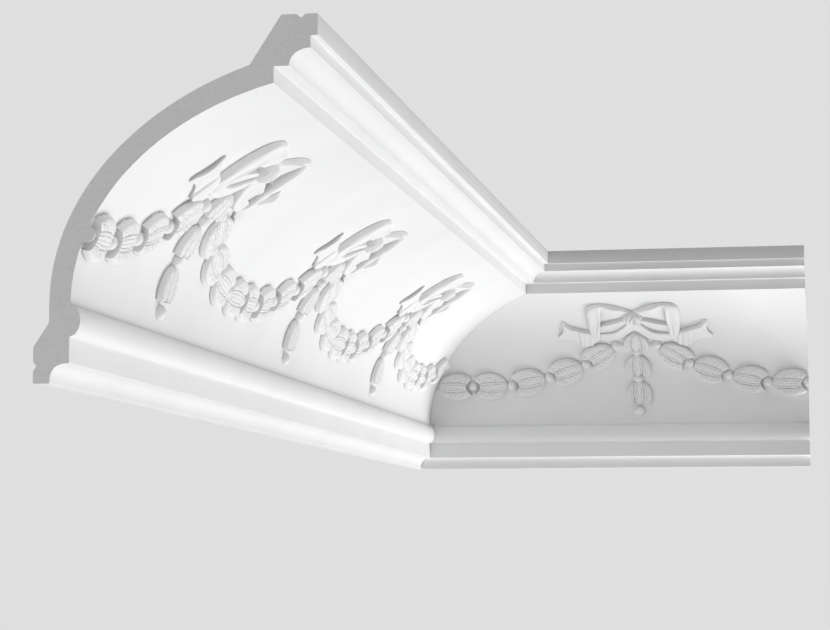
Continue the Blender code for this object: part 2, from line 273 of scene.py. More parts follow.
def addMiddleBead(side):
    # The bead in the middle of the swag, to the right of the bow for 1 and to its left for -1.
    x, y = swag["beads"][-1]
    return addBead(side * x, y)


drop = {
    "husks": ((87.6, 70.0), (63.2, 43.6), (37.9, 17.4)),     # the heights of round end and tips
    "husk": {"halfWidth": 10.8, "longRadius": 13.2, "height": 4.9, "mouthHalf": 6.5, "mouthDepth": 2.8,
             "spur": 2.4},
    "beads": (67.0, 40.6, 11.4),
    "beadRadius": 4.2,
}


def addDrop():
    # The husks and beads that hang straight down from the knot.
    husks = [addHusk((0, top), (0, foot), drop["husk"]) for top, foot in drop["husks"]]
    return husks + [addBead(0, y, drop["beadRadius"]) for y in drop["beads"]]


# The ribbons of the bow's right half. Each is a net of stations along it, and each station has
# its points across, as (x, y, height).
ribbons = {
    "upperLimb": (
        ((-2.2, 115.0, 0.6), (-1.2, 114.6, 1.4), (0.2, 113.8, 1.9), (1.8, 112.8, 2.0), (3.6, 111.6, 2.0),
         (5.2, 110.6, 1.8)),
        ((6.8, 122.1, 0.6), (7.1, 121.7, 2.4), (7.6, 120.9, 3.5), (8.4, 118.2, 3.3), (9.0, 114.8, 3.2),
         (9.4, 111.4, 2.8)),
        ((14.4, 126.9, 0.6), (14.6, 126.5, 3.0), (15.0, 125.6, 4.8), (15.6, 122.4, 4.2),
         (16.2, 116.4, 3.6), (16.6, 109.8, 2.6)),
        ((20.2, 128.8, 0.6), (20.3, 128.5, 2.3), (20.6, 127.8, 3.7), (21.0, 124.0, 3.3),
         (21.6, 116.8, 2.6), (22.0, 107.6, 2.0)),
        ((25.8, 129.9, 0.6), (25.9, 129.6, 2.0), (26.0, 128.8, 3.0), (26.2, 123.8, 2.6),
         (26.4, 115.6, 1.3), (26.6, 104.8, 0.9)),
        ((32.0, 129.2, 0.5), (31.4, 128.8, 1.6), (30.8, 128.0, 2.4), (30.0, 122.0, 2.0),
         (29.4, 114.0, 0.9), (29.2, 104.0, 0.7)),
    ),
    "innerFace": (
        ((2.6, 109.2, 0.4), (3.2, 108.7, 3.0), (4.0, 107.6, 4.1), (4.8, 104.6, 3.4), (4.6, 100.6, 2.0)),
        ((9.4, 107.3, 0.4), (9.6, 106.9, 2.8), (9.9, 105.8, 4.1), (10.2, 101.0, 3.2), (10.0, 94.6, 1.6)),
        ((18.6, 103.5, 0.4), (18.7, 103.1, 2.6), (18.8, 102.0, 4.0), (18.9, 96.6, 3.0),
         (18.6, 88.8, 1.5)),
        ((29.0, 100.0, 0.4), (29.0, 99.6, 2.4), (29.0, 98.6, 3.5), (29.0, 94.0, 2.6), (29.0, 87.6, 1.5)),
    ),
    "outerBand": (
        ((24.6, 129.7, 0.6), (27.0, 129.9, 0.8), (29.4, 129.9, 0.9), (31.6, 129.5, 0.9),
         (33.6, 128.7, 0.8), (35.2, 127.4, 0.5)),
        ((25.0, 128.7, 2.7), (27.2, 128.9, 3.2), (29.8, 128.8, 3.3), (32.4, 128.2, 3.3),
         (35.2, 127.0, 2.9), (37.0, 125.4, 0.6)),
        ((26.2, 124.6, 3.3), (27.8, 124.6, 4.7), (30.4, 124.4, 4.6), (33.4, 124.0, 4.5),
         (36.9, 122.8, 3.8), (38.4, 121.6, 0.7)),
        ((27.0, 118.4, 4.4), (28.2, 118.4, 5.6), (30.8, 118.2, 4.8), (33.9, 117.8, 5.1),
         (37.6, 117.0, 4.2), (39.0, 116.4, 0.7)),
        ((27.2, 110.2, 4.8), (28.3, 110.2, 5.9), (31.0, 110.0, 4.9), (34.1, 109.6, 5.2),
         (37.7, 109.2, 4.3), (39.1, 109.0, 0.7)),
        ((28.0, 101.6, 4.8), (29.1, 101.6, 5.8), (31.5, 101.4, 4.8), (34.2, 101.0, 5.1),
         (37.5, 100.4, 4.2), (38.8, 100.0, 0.7)),
        ((28.9, 92.8, 4.6), (29.9, 92.7, 5.5), (31.9, 92.4, 4.8), (34.0, 92.1, 4.9),
         (37.0, 91.7, 4.0), (38.2, 91.4, 0.7)),
        ((29.5, 86.8, 4.0), (30.2, 86.7, 4.8), (31.5, 86.4, 4.4), (32.9, 86.0, 4.2),
         (34.7, 85.5, 3.4), (35.8, 85.1, 0.7)),
        ((29.9, 82.2, 2.8), (30.2, 82.0, 3.2), (30.7, 81.8, 3.1), (31.2, 81.5, 2.8),
         (31.8, 81.1, 2.2), (32.2, 80.8, 0.6)),
    ),
    "bottomBand": (
        ((31.4, 81.4, 0.6), (31.0, 81.9, 2.8), (30.6, 84.4, 3.2), (30.4, 87.4, 3.4), (30.2, 88.6, 2.8)),
        ((25.8, 80.1, 0.8), (25.7, 80.7, 3.4), (25.1, 84.6, 3.9), (24.5, 88.7, 4.6), (24.3, 89.5, 4.0)),
        ((18.8, 80.4, 0.8), (18.7, 81.0, 3.6), (18.2, 85.6, 4.1), (17.7, 89.9, 4.9), (17.6, 90.8, 4.3)),
        ((11.0, 83.9, 0.8), (11.3, 84.5, 3.8), (12.1, 88.9, 4.3), (12.7, 93.1, 5.1), (12.8, 94.0, 4.5)),
        ((4.8, 89.2, 0.8), (5.3, 89.8, 4.0), (7.0, 93.6, 4.5), (8.5, 97.5, 5.3), (8.9, 98.3, 4.7)),
        ((-0.6, 95.4, 0.8), (0.0, 96.0, 4.1), (2.2, 99.6, 4.7), (4.3, 103.1, 5.4), (4.9, 103.9, 4.8)),
        ((-5.0, 101.4, 0.8), (-4.0, 102.2, 3.8), (-1.8, 105.4, 4.4), (0.2, 108.2, 4.8), (0.8, 109.2, 4.4)),
    ),
    "tailEnd": (
        ((44.6, 93.2, 0.6), (44.7, 92.9, 2.3), (44.9, 92.2, 3.6), (45.1, 88.2, 3.2), (45.4, 83.4, 2.8),
         (45.5, 79.4, 2.4), (45.6, 75.6, 1.8)),
        ((50.6, 95.5, 0.6), (50.7, 95.2, 2.5), (50.9, 94.4, 3.9), (51.2, 90.8, 3.5), (51.6, 86.8, 3.0),
         (51.9, 83.2, 2.6), (52.0, 80.2, 1.8)),
        ((54.6, 97.9, 0.6), (54.8, 97.5, 2.5), (55.2, 96.6, 3.8), (55.8, 93.0, 3.5), (56.4, 89.2, 3.1),
         (57.0, 85.4, 2.6), (57.2, 81.8, 1.8)),
        ((57.0, 101.2, 0.6), (57.4, 100.4, 2.4), (57.8, 98.8, 3.5), (58.2, 94.6, 3.4), (59.3, 90.0, 3.1),
         (60.9, 86.0, 2.5), (61.4, 81.6, 1.7)),
        ((58.8, 103.6, 0.6), (60.8, 102.2, 1.6), (60.4, 98.4, 2.4), (60.1, 94.2, 2.7), (61.8, 89.2, 2.7),
         (64.6, 84.9, 2.1), (64.4, 81.2, 1.2)),
    ),
    "tailFlap": (
        ((29.8, 88.6, 0.8), (30.0, 87.8, 2.6), (30.2, 86.0, 3.2), (30.6, 83.0, 2.6), (31.2, 79.8, 1.6)),
        ((35.8, 90.0, 0.6), (35.9, 89.6, 2.5), (36.0, 88.2, 3.9), (36.0, 82.0, 3.6), (35.8, 76.0, 2.6)),
        ((41.0, 92.0, 0.6), (41.0, 91.7, 2.5), (41.0, 90.5, 4.3), (41.0, 82.0, 3.9), (41.0, 73.8, 2.8)),
        ((45.0, 93.5, 0.6), (45.0, 93.2, 2.7), (45.1, 92.0, 4.5), (45.1, 83.0, 4.0), (45.0, 74.0, 2.8)),
        ((48.4, 94.6, 0.4), (48.5, 94.1, 1.6), (48.6, 92.8, 2.9), (48.4, 85.0, 2.4), (47.6, 77.2, 1.2)),
    ),
}

# How finely each ribbon is cut, its soft ribs, how deep they are and where along it they begin. The
# tail's inner flap has pleats instead: the first one's place, their pitch and depth, and how far
# down across it they begin.
ribbonFinish = {
    "upperLimb": {"rows": 28, "columns": 22, "ribs": 1.5, "depth": 0.20, "begin": 0.0},
    "innerFace": {"rows": 20, "columns": 16, "ribs": 2.5, "depth": 0.16, "begin": 0.0},
    "outerBand": {"rows": 44, "columns": 24, "ribs": 4.0, "depth": 0.20, "begin": 0.3},
    "bottomBand": {"rows": 40, "columns": 18, "ribs": 3.0, "depth": 0.10, "begin": 0.0},
    "tailEnd": {"rows": 22, "columns": 24, "ribs": 2.0, "depth": 0.12, "begin": 0.3},
    "tailFlap": {"rows": 32, "columns": 16, "first": 41.4, "pitch": 4.7, "depth": 0.42, "begin": 0.3},
}

# How ribs and pleats fade, how the ribs sway (size, wave, start) and how low a ribbon may lie.
fold = {"edge": 0.2, "fadeIn": 0.15, "fadeOut": 0.1, "sway": ((0.35, 5.3, 0.0), (0.2, 11.0, 1.7)),
        "pleatFade": 0.4, "lowest": 0.4}


def softRibs(finish, u, v):
    inner = ramp(u, fold["edge"]) * ramp(1 - u, fold["edge"])
    begun = ramp(v - finish["begin"], fold["fadeIn"]) * ramp(1 - v, fold["fadeOut"])
    sway = sum(size * np.sin(wave * v + start) for size, wave, start in fold["sway"])
    return finish["depth"] * inner * begun * np.cos(2 * math.pi * (finish["ribs"] * u + sway))


def pleats(finish, u, x):
    hang = ramp(u - finish["begin"], fold["pleatFade"])
    return finish["depth"] * hang * np.cos(2 * math.pi * (x - finish["first"]) / finish["pitch"])


def addRibbon(name, sunk=0.0):
    finish = ribbonFinish[name]
    rows, columns = finish["rows"], finish["columns"]
    net = np.array(ribbons[name], dtype=float)
    lengthwise = smoothAlong(net, np.linspace(0, 1, rows + 1))
    fine = np.array([smoothAlong(station, np.linspace(0, 1, columns + 1)) for station in lengthwise])

    def shape(u, v):
        point = fine[np.rint(v * rows).astype(int), np.rint(u * columns).astype(int)]
        rib = pleats(finish, u, point[:, 0]) if "pitch" in finish else softRibs(finish, u, v)
        return point[:, 0], point[:, 1], np.maximum(point[:, 2] + rib - sunk, fold["lowest"])

    return addPatch(name, columns, rows, shape)


knot = {
    "middle": (-0.4, 110.0),
    "half": (8.4, 7.5),
    "height": 5.4,
    "eye": (1.2, 109.4),         # where the ribbon's edge winds in
    "pitch": 2.7,
    "stretch": 1.5,              # the windings are this much taller than wide
    "ropeHeight": 2.5,
    "ropeFull": 0.5,             # how high the dome has to be for the rope's full height
    "fullness": 0.5,             # the dome's: the lower, the steeper its sides
    "eyeDepth": 1.6, "eyeHalf": 0.9,
    "lowest": 0.3,
    "steps": 44,
}


def addKnot():
    # A domed knot whose ribbon winds in to its eye.
    def shape(u, v):
        across, upward = 2 * u - 1, 2 * v - 1
        roundX = across * np.sqrt(1 - upward ** 2 / 2)
        roundY = upward * np.sqrt(1 - across ** 2 / 2)
        x = knot["middle"][0] + knot["half"][0] * roundX
        y = knot["middle"][1] + knot["half"][1] * roundY
        dome = np.sqrt(np.clip(1 - roundX ** 2 - roundY ** 2, 0, 1))
        fromEyeX = x - knot["eye"][0]
        fromEyeY = (y - knot["eye"][1]) / knot["stretch"]
        away = np.hypot(fromEyeX, fromEyeY)
        winding = away / knot["pitch"] + np.arctan2(fromEyeY, fromEyeX) / (2 * math.pi)
        overFold = 2 * (winding - np.floor(winding)) - 1
        rope = np.sqrt(np.clip(1 - overFold ** 2, 0, 1))
        z = knot["height"] * dome ** knot["fullness"]
        z = z + knot["ropeHeight"] * rope * ramp(dome, knot["ropeFull"])
        z = z - knot["eyeDepth"] * np.exp(-(away / knot["eyeHalf"]) ** 2)
        return x, y, np.maximum(z, knot["lowest"])

    return addPatch("knot", knot["steps"], knot["steps"], shape)


# The cove: an ellipse in the section, unrolled by its length

cove = {
    "middle": (161.0, 37.03),        # out from the wall, up from the foot
    "radii": (143.07, 108.2),
    "end": math.radians(71.45),
    "steps": 600,
}

angles = np.linspace(0, math.pi / 2, cove["steps"])
speed = np.hypot(cove["radii"][0] * np.sin(angles), cove["radii"][1] * np.cos(angles))
lengths = np.concatenate([[0], np.cumsum(0.5 * (speed[1:] + speed[:-1]) * (angles[1] - angles[0]))])
coveLength = float(np.interp(cove["end"], angles, lengths))


def onCove(up, out):
    # Out from the wall and up from the foot, for a way up the unrolled cove and a height on it.
    angle = np.interp(up, lengths, angles)
    outward = cove["radii"][1] * np.cos(angle)
    upward = -cove["radii"][0] * np.sin(angle)
    size = np.hypot(outward, upward)
    p = cove["middle"][0] - cove["radii"][0] * np.cos(angle) + out * outward / size
    z = cove["middle"][1] + cove["radii"][1] * np.sin(angle) + out * upward / size
    return p, z


# One repeat of the carved cove as a flat sheet

def groundSheet(name):
    # A slab a little longer than the repeat, with its top at the level of the plain cove.
    clearSelection()
    bpy.ops.mesh.primitive_grid_add(x_subdivisions=ground["columns"] + 2, y_subdivisions=ground["rows"],
                                    size=1, location=(0, 0, 0))
    sheet = bpy.context.object
    sheet.name = name
    points = readPoints(sheet)
    points[:, 0] *= repeat + 2 * repeat / ground["columns"]
    points[:, 1] = (points[:, 1] + 0.5) * coveLength
    writePoints(sheet, points)
    addSkirt(sheet, ground["thickness"])
    makeConsistent(sheet)
    return sheet


def fuseForms(sheet, forms):
    carving = bpy.data.collections.new(sheet.name + "Forms")
    for form in forms:
        carving.objects.link(form)
    union = sheet.modifiers.new("fuse", "BOOLEAN")
    union.operation = "UNION"
    union.solver = "EXACT"
    union.operand_type = "COLLECTION"
    union.collection = carving
    makeActive(sheet)
    bpy.ops.object.modifier_apply(modifier="fuse")
    removePieces(forms)
    bpy.data.collections.remove(carving)


def trimToRepeat(sheet):
    # Cuts both ends to one repeat and takes away what lies under the ground.
    bpy.ops.object.mode_set(mode="EDIT")
    for side in (-1, 1):
        bpy.ops.mesh.select_all(action="SELECT")
        bpy.ops.mesh.bisect(plane_co=(side * repeat / 2, 0, 0), plane_no=(side, 0, 0),
                            threshold=ground["close"], clear_outer=True)
    bpy.ops.mesh.select_all(action="DESELECT")
    stopEditing()
    for face in sheet.data.polygons:
        face.select = face.center.z < -ground["trimBelow"]
    bpy.ops.object.mode_set(mode="EDIT")
    bpy.ops.mesh.select_mode(type="FACE")
    bpy.ops.mesh.delete(type="FACE")
    stopEditing()


def carvedRepeat(name, forms):
    sheet = groundSheet(name)
    fuseForms(sheet, forms)
    trimToRepeat(sheet)
    print(name, "has", len(sheet.data.polygons), "faces")
    return sheet


lap = 0.9                        # how much lower the left half's bottom band runs, where the two meet


def halfForms(bowToo, firstHusk, mirror):
    # The forms of one side of the bow, or of a swag that the corner cuts short.
    forms = []
    if bowToo:
        for name in ribbons:
            forms.append(addRibbon(name, lap if mirror and name == "bottomBand" else 0.0))
        forms.append(addBead(*swag["beads"][0]))
    for number in range(firstHusk, len(swag["beads"]) - 1):
        forms.append(addSwagHusk(number))
        if number > 0:
            forms.append(addBead(*swag["beads"][number]))
    if not mirror:
        return forms
    twins = [mirrored(form) for form in forms]
    removePieces(forms)
    return twins


wholeForms = halfForms(True, 0, False) + halfForms(True, 0, True) + addDrop() + [addKnot()]
wholeRepeat = carvedRepeat("wholeRepeat", wholeForms + [addMiddleBead(1), addMiddleBead(-1)])
# In the corner the mitre leaves only a swag's end: on the left from the second husk on.
leftEnd = carvedRepeat("leftEnd", halfForms(False, 1, True) + [addMiddleBead(-1)])
rightEnd = carvedRepeat("rightEnd", halfForms(False, 3, False) + [addMiddleBead(1)])

# The rest of the section

section = {
    "footTop": 17.4, "backStart": (7.5, 28.7),
    "wallGroove": 6.0, "grooveWidth": 4.2, "grooveDepth": 1.4,
    "fasciaOut": 17.6, "fasciaTop": 21.4,
    "hollowTop": 9.4, "hollowFoot": 8.1, "hollowFullness": 0.77,
    "torusMiddle": 29.6, "torusReach": 4.9, "torusHalf": 7.4,
    "backMiddle": (168.71, 38.21), "backRadii": (161.19, 120.58), "backEnd": math.radians(66.3),
    "ceilingStart": 119.0, "ceilingGroove": 126.4, "ceilingGrooveDepth": 1.6,
    "crownDrop": 10.4, "filletOut": 133.1, "headHollow": (10.3, 8.3), "soffit": 147.5,
    "height": (leftHigh.z - leftLow.z) / mm, "projection": (leftHigh.x - leftLow.x) / mm,
}

# How many straight steps each round stretch of the outline has.
steps = {"groove": 8, "torus": 20, "hollow": 14, "back": 28, "headHollow": 12}

# The round on a sharp arris: its size, the least turn, the share of a side it may take and its points.
arris = {"size": 0.45, "turn": math.radians(30), "share": 0.3, "points": (0, 0.33, 0.67, 1)}


def ellipseArc(middle, radii, start, end, count, fullness=1.0):
    points = []
    for k in range(count + 1):
        angle = start + (end - start) * k / count
        c, s = math.cos(angle), math.sin(angle)
        points.append((middle[0] + radii[0] * math.copysign(abs(c) ** fullness, c),
                       middle[1] + radii[1] * math.copysign(abs(s) ** fullness, s)))
    return points


def roundGroove(start, along, inward, width, depth):
    points = []
    for k in range(steps["groove"] + 1):
        t = k / steps["groove"]
        sunk = depth * math.sin(math.pi * t)
        points.append((start[0] + t * width * along[0] + sunk * inward[0],
                       start[1] + t * width * along[1] + sunk * inward[1]))
    return points


def eased(points):
    # The same outline with its sharp arrises eased by a small round.
    points = [np.array(point) for point in points]
    result = [points[0]]
    for before, here, after in zip(points, points[1:], points[2:]):
        first, second = here - before, after - here
        lengthOne, lengthTwo = np.hypot(*first), np.hypot(*second)
        turn = np.dot(first, second) / (lengthOne * lengthTwo)
        if turn > math.cos(arris["turn"]):
            result.append(here)
            continue
        ease = min(arris["size"], arris["share"] * lengthOne, arris["share"] * lengthTwo)
        start = here - first / lengthOne * ease
        end = here + second / lengthTwo * ease
        for t in arris["points"]:
            result.append((1 - t) ** 2 * start + 2 * t * (1 - t) * here + t ** 2 * end)
    result.append(points[-1])
    return result


def restOfSection():
    # From the cove's foot down the front, round the wall face and the back, to the cove's head.
    s = section
    quarter = math.pi / 2
    footOut = float(onCove(0.0, 0.0)[0])
    points = [tuple(float(value) for value in onCove(0.0, 0.0))]
    points += ellipseArc((footOut, s["torusMiddle"]), (s["torusReach"], s["torusHalf"]),
                         quarter, -quarter, steps["torus"])[1:]
    points += [(s["fasciaOut"], s["fasciaTop"])]
    points += ellipseArc((s["fasciaOut"], 0), (s["fasciaOut"] - s["hollowFoot"], s["hollowTop"]),
                         quarter, 2 * quarter, steps["hollow"], s["hollowFullness"])
    points += [(0, 0)]
    points += roundGroove((0, s["wallGroove"]), (0, 1), (1, 0), s["grooveWidth"], s["grooveDepth"])
    points += [(0, s["footTop"]), s["backStart"]]
    points += ellipseArc(s["backMiddle"], s["backRadii"], math.pi, math.pi - s["backEnd"], steps["back"])
    points += [(s["ceilingStart"], s["height"])]
    points += roundGroove((s["ceilingGroove"], s["height"]), (1, 0), (0, -1), s["grooveWidth"],
                          s["ceilingGrooveDepth"])
    points += [(s["projection"], s["height"]), (s["projection"], s["height"] - s["crownDrop"]),
               (s["filletOut"], s["height"] - s["crownDrop"])]
    points += ellipseArc((s["filletOut"], s["soffit"]), s["headHollow"], quarter, 2 * quarter,
                         steps["headHollow"])
    head = onCove(coveLength, 0.0)
    points += [(float(head[0]), s["soffit"]), tuple(float(value) for value in head)]
    return np.array(eased(points))


# Laying the repeats along a length

# The left length's first bow lies in the corner, and the right length's a little past it.
runs = {
    "left": {"length": leftLength, "tiles": ((0, "end"), (1, "whole"), (2, "whole"), (3, "whole")),
             "firstBow": 0.0, "alongX": False},
    "right": {"length": rightLength, "tiles": ((0, "end"), (1, "whole")),
              "firstBow": -0.3 * repeat, "alongX": True},
}

# The mitre's half gap, what is taken for a face of the mitre or of the square end, and the welding.
cut = {"halfGap": 0.15, "mitreBand": 0.2, "endBand": 0.01, "weld": 0.002, "close": 0.001}


def place(run, distance, p, z):
    if run["alongX"]:
        points = np.column_stack([distance, -p, z])
    else:
        points = np.column_stack([p, -distance, z])
    return points * mm + np.array(corner)


def layRepeat(sheet, run, bow):
    # A copy of the flat sheet, bent on to the cove round one bow.
    clearSelection()
    piece = sheet.copy()
    piece.data = sheet.data.copy()
    bpy.context.collection.objects.link(piece)
    points = readPoints(piece)
    side = 1 if run["alongX"] else -1
    p, z = onCove(points[:, 1], points[:, 2])
    writePoints(piece, place(run, bow + side * points[:, 0], p, z))
    return piece


def railStrip(run, bow, outline):
    # The plain part of the section over one repeat.
    clearSelection()
    bpy.ops.mesh.primitive_grid_add(x_subdivisions=ground["columns"], y_subdivisions=len(outline) - 1,
                                    size=1)
    strip = bpy.context.object
    points = readPoints(strip)
    row = np.rint((points[:, 1] + 0.5) * (len(outline) - 1)).astype(int)
    writePoints(strip, place(run, bow + points[:, 0] * repeat, outline[row, 0], outline[row, 1]))
    return strip


def fromCorner(points, run):
    # How far points lie from the corner along their run, in millimetres.
    away = (points - np.array(corner)) / mm
    return away[:, 0] if run["alongX"] else -away[:, 1]


def cutMitre(piece, run):
    outward = Vector((-1, -1, 0)) if run["alongX"] else Vector((1, 1, 0))
    outward.normalize()
    startEditing(piece)
    bpy.ops.mesh.bisect(plane_co=corner - outward * cut["halfGap"] * mm, plane_no=outward,
                        threshold=cut["close"] * mm, clear_outer=True, use_fill=True)
    stopEditing()


def buildLength(name, run, endSheet):
    outline = restOfSection()
    parts = []
    for number, kind in run["tiles"]:
        bow = run["firstBow"] + number * repeat
        parts.append(layRepeat(wholeRepeat if kind == "whole" else endSheet, run, bow))
        parts.append(railStrip(run, bow, outline))
    clearSelection()
    for part in parts:
        part.select_set(True)
    bpy.context.view_layer.objects.active = parts[0]
    bpy.ops.object.join()
    piece = bpy.context.object
    piece.name = name
    startEditing(piece)
    bpy.ops.mesh.remove_doubles(threshold=cut["weld"] * mm)
    stopEditing()
    cutMitre(piece, run)
    capEnd(piece, run)
    makeConsistent(piece)
    return piece


def capEnd(piece, run):
    # The open outer end is closed with one flat face.
    ends = fromCorner(readPoints(piece), run) > run["length"] - cut["endBand"]
    startEditing(piece)
    bpy.ops.mesh.select_all(action="DESELECT")
    bpy.ops.mesh.select_mode(type="VERT")
    stopEditing()
    piece.data.vertices.foreach_set("select", ends)
    bpy.ops.object.mode_set(mode="EDIT")
    bpy.ops.mesh.edge_face_add()
    stopEditing()


leftPiece = buildLength("leftLength", runs["left"], leftEnd)
rightPiece = buildLength("rightLength", runs["right"], rightEnd)
removePieces((wholeRepeat, leftEnd, rightEnd))
for piece in (leftPiece, rightPiece):
    print(piece.name, "has", len(piece.data.polygons), "faces")


# Finishes

class Wire:
    # A shader's socket that takes Python's own arithmetic.

    def __init__(self, tree, socket=None):
        self.tree = tree
        self.socket = socket

    def node(self, kind, settings, sockets, output=0):
        # Any node: its settings come first, then the values or links of its sockets.
        made = self.tree.nodes.new(kind)
        for name, value in settings.items():
            setattr(made, name, value)
        for name, value in sockets.items():
            if isinstance(value, Wire):
                self.tree.links.new(value.socket, made.inputs[name])
            else:
                made.inputs[name].default_value = value
        return Wire(self.tree, made.outputs[output])

    def maths(self, operation, first, second):
        return self.node("ShaderNodeMath", {"operation": operation}, {0: first, 1: second})

    def __add__(self, other):
        return self.maths("ADD", self, other)

    def __radd__(self, other):
        return self.maths("ADD", other, self)

    def __sub__(self, other):
        return self.maths("SUBTRACT", self, other)

    def __rmul__(self, other):
        return self.maths("MULTIPLY", other, self)

    def between(self, low, high):
        # 0 below low, 1 above high and an even ramp between them.
        return self.node("ShaderNodeMapRange", {}, {"Value": self, "From Min": low, "From Max": high},
                         "Result")

    def tint(self, dark, light):
        # A colour from dark at 0 to light at 1.
        return self.node("ShaderNodeMix", {"data_type": "RGBA"}, {0: self, 6: dark, 7: light}, 2)

    def stretched(self, scale):
        # The same place, with a pattern drawn out along the axes that scale makes small.
        return self.node("ShaderNodeVectorMath", {"operation": "MULTIPLY"}, {0: self, 1: scale})

    def noise(self, scale, detail=2.0):
        return self.node("ShaderNodeTexNoise", {},
                         {"Vector": self, "Scale": scale, "Detail": detail}, "Fac")

    def cells(self, scale):
        return self.node("ShaderNodeTexVoronoi", {}, {"Vector": self, "Scale": scale}, "Distance")

    def bumped(self, distance, strength):
        return self.node("ShaderNodeBump", {},
                         {"Height": self, "Distance": distance, "Strength": strength}, "Normal")


def newFinish(name):
    material = bpy.data.materials.new(name)
    material.use_nodes = True
    start = Wire(material.node_tree)
    place = start.node("ShaderNodeTexCoord", {}, {}, "Object")
    return material, place


def joinUp(material, colour, roughness, normal):
    shader = material.node_tree.nodes["Principled BSDF"]
    for name, wire in (("Base Color", colour), ("Roughness", roughness), ("Normal", normal)):
        material.node_tree.links.new(wire.socket, shader.inputs[name])


primer = {
    "thin": (0.715, 0.720, 0.725, 1), "full": (0.775, 0.775, 0.773, 1),
    # The crease colour is painted shade, laid into the carving's hollows.
    "paintedCreaseShade": (0.36, 0.362, 0.366, 1),
    "cloudScale": 14.0, "peelScale": 1500.0, "rippleScale": 170.0, "scuffScale": 60.0,
    "peelDepth": 0.00003, "peelStrength": 0.22,
}


def primedWhite():
    # Sprayed primer on moulded foam: a soft white with an orange peel, faint clouds and light scuffs, and
    # painted shade that darkens the carving's creases.
    material, place = newFinish("primedWhite")
    cloud = place.noise(primer["cloudScale"], 3.0)
    peel = place.noise(primer["peelScale"], 3.0)
    ripple = place.noise(primer["rippleScale"], 1.0)
    scuff = place.stretched((1.0, 1.0, 7.0)).noise(primer["scuffScale"], 4.0).between(0.60, 0.72)
    cover = 0.25 + 0.55 * cloud.between(0.30, 0.70) + 0.20 * peel - 0.18 * scuff
    roughness = 0.56 + 0.08 * cloud + 0.06 * peel - 0.10 * scuff
    relief = 0.7 * peel + 1.0 * ripple - 0.2 * scuff
    paintedCreaseShade = place.node("ShaderNodeAttribute", {"attribute_name": "paintedCreaseShade"}, {}, "Fac")
    # Painted shade: the hollow corners of the carving are mixed towards the dark crease grey.
    colour = paintedCreaseShade.tint(cover.tint(primer["thin"], primer["full"]), primer["paintedCreaseShade"])
    joinUp(material, colour, roughness, relief.bumped(primer["peelDepth"], primer["peelStrength"]))
    return material


# Painted shade in the carving's creases: how hollow a point must be to show it, how
# hollow to show it fully, how hollow where the carving meets the plain cove (a painted contact shadow
# there), and the longest side of a carved face.
creaseShading = {"shallow": 0.08, "sharp": 0.48, "foot": 0.10, "carvedSide": 5.5 * mm}


def readWhole(items, name, each=1):
    # A whole number, or each of several, from all points, edges, corners or faces.
    values = np.empty(len(items) * each, dtype=np.int32)
    items.foreach_get(name, values)
    return values


def meanHollow(piece, ends):
    # The mean sine of a point's edges above its tangent plane.
    points = readPoints(piece)
    normals = np.empty(len(points) * 3)
    piece.data.vertices.foreach_get("normal", normals)
    normals = normals.reshape(-1, 3)
    hollow, count = np.zeros(len(points)), np.zeros(len(points))
    for here, there in (ends.T, ends[:, ::-1].T):
        along = points[there] - points[here]
        along = along / np.maximum(np.linalg.norm(along, axis=1), 1e-9)[:, None]
        np.add.at(hollow, here, np.einsum("ij,ij->i", along, normals[here]))
        np.add.at(count, here, 1)
    return hollow / np.maximum(count, 1)


def plainFaces(piece, ends):
    # The faces of the cove and the rails, which are longer than the carving's.
    points = readPoints(piece)
    long = np.linalg.norm(points[ends[:, 1]] - points[ends[:, 0]], axis=1)
    borders = readWhole(piece.data.loops, "edge_index")
    starts = readWhole(piece.data.polygons, "loop_start")
    return np.maximum.reduceat(long[borders], starts) > creaseShading["carvedSide"]


def paintCreaseShade(piece):
    # How far each corner of a carved face lies in a hollow, kept on the piece as its painted crease shade.
    mesh = piece.data
    ends = readWhole(mesh.edges, "vertices", 2).reshape(-1, 2)
    turns = readWhole(mesh.loops, "vertex_index")
    plain = np.repeat(plainFaces(piece, ends), readWhole(mesh.polygons, "loop_total"))
    hollow = meanHollow(piece, ends)
    paintedCreaseShade = ramp(hollow[turns] - creaseShading["shallow"], creaseShading["sharp"] - creaseShading["shallow"])
    onGround = np.zeros(len(hollow), dtype=bool)
    onGround[turns[plain]] = True
    # The carving's foot next to the plain cove gets full painted shade, as a contact shadow.
    paintedCreaseShade[onGround[turns] & (hollow[turns] > creaseShading["foot"])] = 1
    paintedCreaseShade[plain] = 0
    mesh.attributes.new("paintedCreaseShade", "FLOAT", "CORNER").data.foreach_set("value", paintedCreaseShade)


sawn = {
    "pore": (0.52, 0.525, 0.53, 1), "foam": (0.81, 0.81, 0.815, 1),
    "cellScale": 1300.0, "cloudScale": 45.0, "sawScale": 520.0,
    "cellDepth": 0.00012, "cellStrength": 0.35,
}


def sawnFoam():
    # The cut polyurethane: a grey, matt face with fine cells and the saw's faint lines.
    material, place = newFinish("sawnFoam")
    cell = place.cells(sawn["cellScale"]).between(0.05, 0.55)
    cloud = place.noise(sawn["cloudScale"], 2.0)
    lines = place.stretched((0.04, 0.04, 1.0)).noise(sawn["sawScale"], 2.0)
    tone = 0.35 + 0.35 * cell + 0.20 * cloud + 0.20 * lines
    roughness = 0.86 + 0.08 * cloud
    relief = 0.6 * cell + 0.6 * lines
    joinUp(material, tone.tint(sawn["pore"], sawn["foam"]), roughness,
           relief.bumped(sawn["cellDepth"], sawn["cellStrength"]))
    return material


